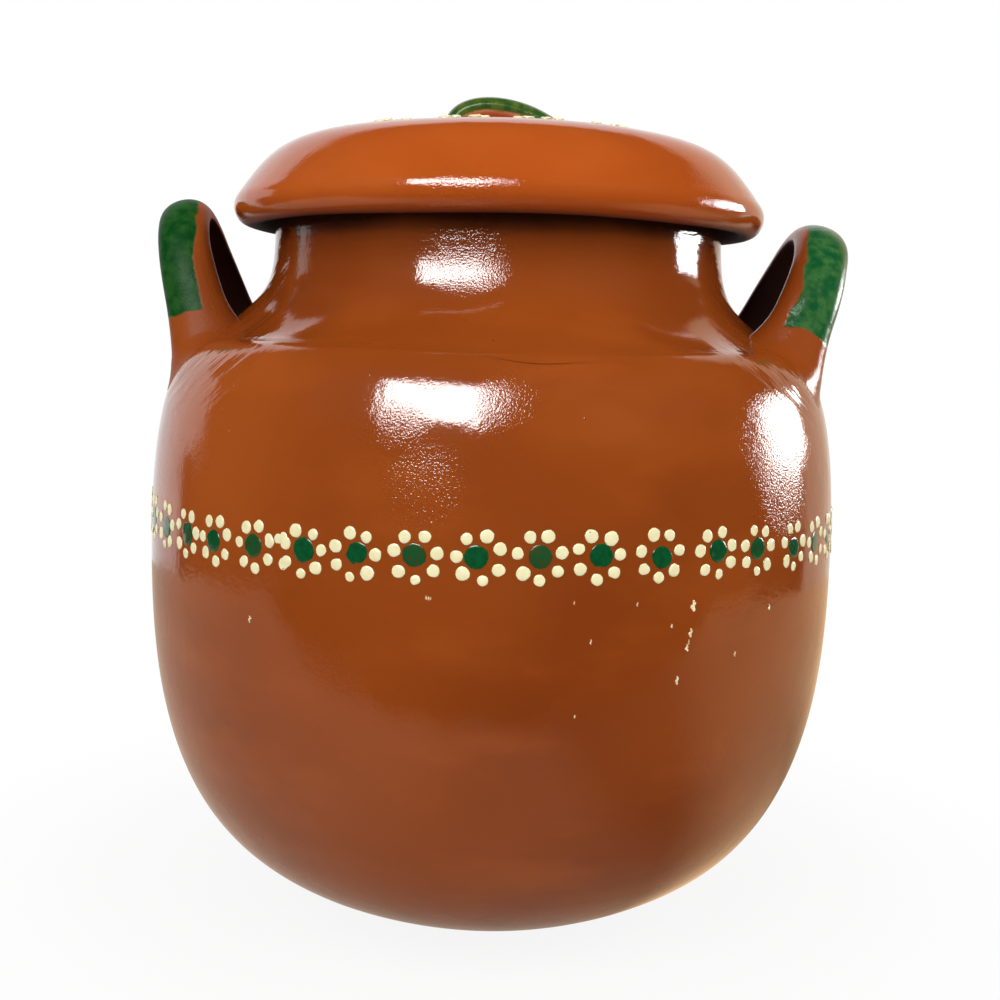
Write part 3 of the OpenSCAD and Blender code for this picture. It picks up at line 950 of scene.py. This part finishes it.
# %% Bare points to a plain mesh of dabs
def set_dabs(name, dots, wall, slip):
    """dots are rows of place, aim, radius, thickness and thinness. The result is one plain mesh."""
    places, *measures = zip(*dots)
    points = link_mesh(name + "_points", places, [])
    for key, values in zip(("aim", "size", "thick", "thin"), measures):
        write_measure(points, key, values)
    modifier = points.modifiers.new("dabs", "NODES")
    modifier.node_group = dabs_on_wall
    for item in dabs_on_wall.interface.items_tree:
        value = {"Wall": wall, "Dab": dome, "Slip": slip, "Unevenness": UNEVEN_BY}.get(item.name)
        if item.in_out == "INPUT" and value is not None:
            modifier[item.identifier] = value
    ready = points.evaluated_get(bpy.context.evaluated_depsgraph_get())
    mesh = bpy.data.meshes.new_from_object(ready)
    mesh.name = name
    mesh.shade_smooth()
    bpy.data.objects.remove(points)
    return put_in_scene(name, mesh)


# %% [markdown]
# ## Two slips
# Slip is thin clay in colour. The cream dots stand proud and stay pale, but their foot is darkened,
# partly as glaze that pools there and partly as painted shade, and a few have chipped. The green dabs
# are flatter, with the grain of the brush, and where one is thin the red clay shows through.

# %% Cream and green slip
def slip(name, main, shade, under, edge, rim_from, grain_mm):
    """Slip under clear glaze. The rim attribute darkens its foot, and thin lets the clay through."""
    made, tree, place = new_material(name)
    tone = patches(tree, place, grain_mm, 3.0, 0.35, 0.7)
    colour = add(tree, "ShaderNodeMix", COLOURS, [tone, main, shade])
    worn = add(tree, "ShaderNodeMath", TIMES, [measure(tree, "thin"), tone])
    colour = add(tree, "ShaderNodeMix", COLOURS, [worn, colour, under])
    chip = add(tree, "ShaderNodeTexNoise", None, {"Vector": place, "Scale": per_mm(1.5), "Detail": 2.0})
    chip = add(tree, "ShaderNodeMapRange", None, [chip, 0.76, 0.78])
    colour = add(tree, "ShaderNodeMix", COLOURS, [chip, colour, "#4a2410"])
    # The darker foot is partly glaze pooled round the dot and partly painted shade.
    foot = add(tree, "ShaderNodeMapRange", SMOOTH, [measure(tree, "rim"), rim_from, 1.0])
    colour = add(tree, "ShaderNodeMix", COLOURS, [foot, colour, edge])
    peel = add(tree, "ShaderNodeTexNoise", None, {"Vector": place, "Scale": per_mm(1.2), "Detail": 2.0})
    height = add(tree, "ShaderNodeMath", TIMES, [peel, 0.06 * MM])
    bump = add(tree, "ShaderNodeBump", None, {"Height": height, "Distance": 1.0})
    skin = add(tree, "ShaderNodeBsdfPrincipled", None,
               {"Base Color": colour, "Roughness": 0.16, "IOR": GLAZE_IOR, "Normal": bump})
    add(tree, "ShaderNodeOutputMaterial", None, {"Surface": skin})
    return made


cream_slip = slip("cream_slip_under_glaze", "#f6eec0", "#f2e8b6", "#d59a76", "#9a8450", 0.96, 2.5)
green_slip = slip("green_slip_under_glaze", "#06542a", "#094423", "#50401a", "#0a3a1c", 0.97, 1.6)
print("slips:", cream_slip.name, "and", green_slip.name)

# %% [markdown]
# ## The band and the lid's ring
# Forty-two flowers go round the belly. The potter set them by eye, so the turns of the fifteen that
# the photograph shows are kept as they are, and the rest are spaced evenly. Each flower wanders a
# little up and down, its centre sits a little off, and its ring of petals is turned a little. A ring
# of fifteen more lies on the lid, round the grip.

# %% Sizes and turns of the flowers
CENTRE_R = 3.7 * MM
PETAL_R = 2.05 * MM
PETAL_RING_R = 6.6 * MM
PETALS = 7
BAND_Z = 145 * MM
BACK_FLOWERS = 27
LID_RING_R = 58 * MM
LID_FLOWERS = 15
front_turns = [-60, -51.5, -43.5, -35, -26.5, -18.5, -10, -1.5, 6.5, 14.5, 23.5, 33, 41.5, 51, 59.5]
back_step = (360 - front_turns[-1] + front_turns[0]) / (BACK_FLOWERS + 1)
band_turns = front_turns + [front_turns[-1] + i * back_step for i in range(1, BACK_FLOWERS + 1)]
lid_turns = [360 * (k + 0.5) / LID_FLOWERS for k in range(LID_FLOWERS)]
crown_fine = cubic(crown_curve, 240)
print("flowers:", len(band_turns), "on the belly and", len(lid_turns), "on the lid")


# %% Where the dots of a flower lie
def sine(degrees):
    """The sine of an angle in degrees. The flowers use it to differ in a way that never changes."""
    return math.sin(math.radians(degrees))


def petal_size(turn, i):
    """Petals differ a little, and the lowest one is small."""
    return PETAL_R * (0.97 + 0.08 * sine(97 * i + 7 * turn) - (0.14 if i == 0 else 0))


def on_band(turn, side, up):
    """A place on the belly's wall and the way out from it."""
    z = BAND_Z + 1.2 * MM * sine(3 * turn + 40) + up
    r = np.interp(z, shoulder[:, 1], shoulder[:, 0])
    a = math.radians(turn) + side / r
    out = np.array([math.sin(a), -math.cos(a), 0])
    return out * r + [0, 0, z], out


def on_lid(turn, side, up):
    """A place on the lid's crown and the way out from it."""
    ring = LID_RING_R - up
    r = math.hypot(ring, side)
    a = math.radians(turn) + math.atan(side / ring)
    z = np.interp(-r, -crown_fine[:, 0], crown_fine[:, 1])
    return np.array([r * math.sin(a), -r * math.cos(a), z]), np.array([0, 0, 1.0])


def flowers(turns, where, middle_t, petal_t):
    """Dots of the centres and of the petals of a row of flowers, with their thicknesses."""
    middles, petals = [], []
    for turn in turns:
        thin = max(0, sine(61 * turn + 20)) ** 3
        place = where(turn, 0.9 * MM * sine(77 * turn + 30), 0.6 * MM * sine(133 * turn))
        middles.append((*place, CENTRE_R * (1 + 0.07 * sine(41 * turn)), middle_t, thin))
        for i in range(PETALS):
            a = math.pi + 2 * math.pi * i / PETALS + 0.16 * sine(53 * turn) + 0.05 * sine(131 * i + 17 * turn)
            place = where(turn, PETAL_RING_R * math.sin(a), PETAL_RING_R * math.cos(a))
            petals.append((*place, petal_size(turn, i), petal_t, 0.0))
    return middles, petals


# %% [markdown]
# ## Splashes and smudges
# Under the band on the right, cream slip splashed and ran, and between two flowers on the left some
# dabs ran together. A run of slip isn't round, so each splash is four small overlapping dabs: offsets
# aside and up in radii, and the dab's share of the splash's radius.

# %% Set the slip on the walls
# Splashes and smudges: turn in degrees, height and radius in millimetres
SPLASHES = [(29.1, 130.3, 1.1), (28.8, 122.1, 0.9), (28.3, 117.6, 0.7), (28.6, 119.3, 0.5),
            (27.0, 107.7, 0.8), (25.6, 124.8, 0.45), (20.2, 131.8, 0.4), (11.3, 133, 0.35),
            (13.7, 121.3, 0.45), (12, 98.7, 0.35), (37.3, 113.6, 0.5), (44.5, 126.5, 0.6),
            (-35.8, 121.1, 0.7), (-8.4, 133.6, 0.4), (-8.1, 133.5, 0.4), (-7.8, 133.4, 0.35)]
SMUDGES = [(-30.6, 147.2, 1.7), (-29.7, 148.2, 1.4), (-29.6, 139.9, 1.9),
           (-34.2, 150.3, 0.9), (-32.3, 146.8, 1.8)]
RUN = [(0.0, 1.3, 0.42), (0.25, 0.5, 0.6), (-0.2, -0.3, 0.72), (0.15, -1.1, 0.5)]
drips = [(turn, z, r, 0.0) for turn, z, r in SMUDGES]
for turn, z, r in SPLASHES:
    drips += [(turn + 0.5 * r * side, z + r * up, r * share, 0.7) for side, up, share in RUN]

belly_line = chain(cubic(under_curve, 200), shoulder)
band_middles, band_petals = flowers(band_turns, on_band, 0.16 * MM, 0.3 * MM)
lid_middles, lid_petals = flowers(lid_turns, on_lid, 0.35 * MM, 0.7 * MM)
for turn, z, r, thin in drips:
    out = on_band(turn, 0, 0)[1]
    z *= MM
    place = np.array([*(out[:2] * np.interp(z, belly_line[:, 1], belly_line[:, 0])), z])
    band_petals.append((place, out, r * MM, 0.18 * MM, thin))
petals_on_pot = set_dabs("petals_on_pot", band_petals, bowl, cream_slip)
centres_on_pot = set_dabs("centres_on_pot", band_middles, bowl, green_slip)
petals_on_lid = set_dabs("petals_on_lid", lid_petals, lid, cream_slip)
centres_on_lid = set_dabs("centres_on_lid", lid_middles, lid, green_slip)
bpy.data.objects.remove(dome)
print("dots:", len(band_petals), "petals and", len(band_middles), "centres on the pot")

# %% [markdown]
# ## What each piece rides on
# The lid lifts off and the rest stays, so there are two bodies. Each new piece rides on its body and
# stands for the node of the same part, which is hidden.

# %% Ride and replace
for piece, body, nodes, slot in (
    (bowl, "pot", ["bowl"], "pot_glaze"),
    (neck, "pot", ["neck"], "pot_glaze"),
    (left_ear, "pot", ["left_handle"], "pot_glaze"),
    (right_ear, "pot", ["right_handle"], "pot_glaze"),
    (petals_on_pot, "pot", ["band_petals"], "cream_slip"),
    (centres_on_pot, "pot", ["band_centres"], "green_slip"),
    (lid, "lid", ["lid_dome"], "lid_glaze"),
    (grip, "lid", ["lid_handle"], "lid_glaze"),
    (petals_on_lid, "lid", ["lid_petals"], "cream_slip"),
    (centres_on_lid, "lid", ["lid_centres"], "green_slip"),
):
    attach(piece, body)
    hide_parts(*nodes)
    print(piece.name, "rides on", body)

# %% [markdown]
# ## The floor
# The pot stands on a pale round table top in front of a white backdrop. The floor keeps a soft
# shadow close to the pot and turns white towards its edge. The glaze mirrors it too, and there the
# photograph shows more: the table ends in front of the pot, its reflection is dim in the middle and
# bright at the right edge, warmer to the side, and darker close behind the pot. So the floor has a
# second brightness that only mirrors see, worked out from the place on the floor.

# %% What kind of ray looks
def ray_kinds(tree):
    """Whether the camera looks, and whether a mirror or a clear piece does."""
    rays = add(tree, "ShaderNodeLightPath").outputs
    mirror = add(tree, "ShaderNodeMath", LARGER, [rays["Is Glossy Ray"], rays["Is Transmission Ray"]])
    return rays["Is Camera Ray"], mirror


# %% Brightness of the mirrored floor
TABLE_EDGE = -0.29


def mirrored_floor(tree, place, away, x, y):
    """How bright mirrors see the floor, and how far to the right side a place on it lies."""
    stray = add(tree, "ShaderNodeTexNoise", None, {"Vector": place, "Scale": per_mm(90), "Detail": 1.0})
    edge_place = add(tree, "ShaderNodeMath", TIMES_PLUS, [stray, 0.06, y])
    on_table = add(tree, "ShaderNodeMapRange", SMOOTH, [edge_place, TABLE_EDGE, TABLE_EDGE + 0.05])
    past_pot = add(tree, "ShaderNodeMapRange", SMOOTH, [y, -0.05, 0.1])
    on_right = add(tree, "ShaderNodeMapRange", SMOOTH, [x, 0.05, 0.13])
    past_right = add(tree, "ShaderNodeMath", TIMES, [past_pot, on_right])
    aside = add(tree, "ShaderNodeMath", {"operation": "DIVIDE"}, [x, away])
    aside = add(tree, "ShaderNodeMath", LARGER, [aside, past_right])
    bright = add(tree, "ShaderNodeMapRange", SMOOTH, [aside, 0.7, 1.0, 0, 0.8])
    for ends in ((-0.02, -0.12, 0, 0.2), (0.05, 0.13, 0.45, 0.15)):
        part = add(tree, "ShaderNodeMapRange", SMOOTH, [x, *ends])
        bright = add(tree, "ShaderNodeMath", PLUS, [bright, part])
    bright = add(tree, "ShaderNodeMath", TIMES, [bright, on_table])
    close = add(tree, "ShaderNodeMapRange", SMOOTH, [away, 0.4, 0.15, 0, 0.6])
    shaded = add(tree, "ShaderNodeMath", TIMES, [close, past_right])
    unshaded = add(tree, "ShaderNodeMath", {"operation": "SUBTRACT"}, [1.0, shaded])
    return add(tree, "ShaderNodeMath", TIMES, [bright, unshaded]), aside


# %% Floor
def pale_floor():
    """A matt white board, almost pure white for the camera, with the mirrored floor's brightness."""
    made, tree, place = new_material("matt_white_board")
    away = add(tree, "ShaderNodeVectorMath", {"operation": "LENGTH"}, [place])
    x, y, z = add(tree, "ShaderNodeSeparateXYZ", None, [place]).outputs
    bright, aside = mirrored_floor(tree, place, away, x, y)
    camera_ray, mirror_ray = ray_kinds(tree)
    mirror_glow = add(tree, "ShaderNodeMath", TIMES, [bright, mirror_ray])
    share = add(tree, "ShaderNodeMapRange", SMOOTH, [away, 0.08, 0.28, 0.9, 1.0])
    camera_share = add(tree, "ShaderNodeMath", TIMES, [camera_ray, share])
    both = add(tree, "ShaderNodeMath", LARGER, [camera_share, mirror_ray])
    strength = add(tree, "ShaderNodeMath", PLUS, [mirror_glow, camera_ray])
    matt = add(tree, "ShaderNodeBsdfDiffuse", None, {"Color": "#d9d8d6"})
    warmth = add(tree, "ShaderNodeMapRange", None, [aside, 0.3, 0.9])
    warm = add(tree, "ShaderNodeMix", COLOURS, [warmth, "#ffe9d3", "#ffd7a8"])
    tint = add(tree, "ShaderNodeMix", COLOURS, [mirror_ray, "#ffffff", warm])
    light = add(tree, "ShaderNodeEmission", None, {"Color": tint, "Strength": strength})
    shown = add(tree, "ShaderNodeMixShader", None, {"Fac": both, "Shader": matt, "Shader_001": light})
    add(tree, "ShaderNodeOutputMaterial", None, {"Surface": shown})
    return made


FLOOR_RINGS = [(r, 0) for r in (0.1, 0.2, 0.35, 0.55, 0.8)]
floor = disc("floor", 0, FLOOR_RINGS, 96)
floor.data.materials.append(pale_floor())
print("floor:", len(floor.data.polygons), "faces")

# %% [markdown]
# ## The room
# The camera sees white all round. The light of the room is dim, which is what keeps the brown deep,
# and mirrors see a dark room with a white backdrop behind the pot, so the glaze shows the backdrop
# only along the pot's edges. On the right the walls give that reflection a warm tint.

# %% World
ROOM_LIGHT = 0.24
ROOM_MIRROR = 0.03
BACKDROP_EDGE = 0.5
world = bpy.data.worlds.new("Studio")
bpy.context.scene.world = world
world.use_nodes = True
sky = world.node_tree
sky.nodes.clear()
x, y, z = add(sky, "ShaderNodeSeparateXYZ", None, [add(sky, "ShaderNodeTexCoord")]).outputs
over_low_wall = add(sky, "ShaderNodeMapRange", SMOOTH, [z, 0.0, 0.08, 0, 0.2])
under_wall_top = add(sky, "ShaderNodeMapRange", SMOOTH, [z, 0.36, 0.3])
low_wall = add(sky, "ShaderNodeMath", TIMES_PLUS, [over_low_wall, under_wall_top, y])
behind = add(sky, "ShaderNodeMapRange", SMOOTH, [low_wall, BACKDROP_EDGE, BACKDROP_EDGE + 0.06])
low = add(sky, "ShaderNodeMapRange", SMOOTH, [z, 0.72, 0.66])
backdrop = add(sky, "ShaderNodeMath", TIMES, [behind, low])
camera_ray, mirror_ray = ray_kinds(sky)
mirror_level = add(sky, "ShaderNodeMapRange", None, [backdrop, 0, 1, ROOM_MIRROR, 1.0])
level = add(sky, "ShaderNodeMix", None, [mirror_ray, ROOM_LIGHT, mirror_level])
seen_level = add(sky, "ShaderNodeMix", None, [camera_ray, level, 1.0])
right_side = add(sky, "ShaderNodeMapRange", SMOOTH, [x, 0.1, 0.6])
warm_mirror = add(sky, "ShaderNodeMath", TIMES, [right_side, mirror_ray])
room_colour = add(sky, "ShaderNodeMix", COLOURS, [warm_mirror, "#ffffff", "#f6dcc0"])
glow = add(sky, "ShaderNodeBackground", None, {"Color": room_colour, "Strength": seen_level})
add(sky, "ShaderNodeOutputWorld", None, {"Surface": glow})
print("world:", len(sky.nodes), "nodes")

# %% [markdown]
# ## The lamps
# Two large soft lamps, high on the left and the right, light the clay at a plain level, so its
# colours come out about as they are written. They would leave the shine grey, because glaze mirrors
# only a twentieth of the light. So two bright windows stand where the photograph's shine asks for
# them, a wide one high in front on the left and a small low one far round on the right, and only
# mirrors see those.

# %% Windows
POT_MIDDLE = Vector((0, 0, 0.17))
LAMP_AWAY = 1.8


def window(name, turn, climb, width, height, radiance, mirrors_only):
    """An area lamp seen from the pot at this turn from the front and this climb, both in degrees."""
    a, e = math.radians(turn), math.radians(climb)
    way_out = Vector((math.sin(a) * math.cos(e), -math.cos(a) * math.cos(e), math.sin(e)))
    lamp = bpy.data.lights.new(name, "AREA")
    lamp.shape = "RECTANGLE"
    lamp.size = width
    lamp.size_y = height
    lamp.energy = radiance * math.pi * width * height
    made = put_in_scene(name, lamp)
    made.location = POT_MIDDLE + way_out * LAMP_AWAY
    made.rotation_euler = (-way_out).to_track_quat("-Z", "Y").to_euler()
    made.visible_diffuse = not mirrors_only
    made.visible_glossy = mirrors_only
    print(name, "at", [round(v, 2) for v in made.location])


window("soft_light_left", -42, 38, 1.5, 1.2, 4.15, False)
window("soft_light_right", 52, 36, 1.4, 1.2, 3.8, False)
window("window_left_shine", -21, 35, 1.0, 0.74, 26, True)
window("window_right_shine", 110, 9, 0.7, 0.42, 26, True)

# %% [markdown]
# ## The camera
# The photograph was taken from the front, a little above the pot, close enough for the lid to be
# seen from just above its edge. The whole picture leans by a degree or so, so the camera rolls.

# %% Camera
CAMERA_AT = Vector((0, -0.5, 0.206))
PIXELS = 1000
FOCAL_PIXELS = 1320.8
DOWN = 6.61
ROLL = 1.4
AXIS_PIXEL = 492
camera = bpy.data.cameras.new("camera")
camera.sensor_width = 36
camera.lens = FOCAL_PIXELS * camera.sensor_width / PIXELS
camera.shift_x = (PIXELS / 2 - AXIS_PIXEL) / PIXELS
camera.clip_start = 0.01
camera_object = put_in_scene("camera", camera)
turn_down = Matrix.Rotation(math.radians(90 - DOWN), 4, "X") @ Matrix.Rotation(math.radians(ROLL), 4, "Z")
camera_object.matrix_world = Matrix.Translation(CAMERA_AT) @ turn_down
bpy.context.scene.camera = camera_object
bpy.context.scene.view_settings.view_transform = "Standard"
print("lens", round(camera.lens, 2))
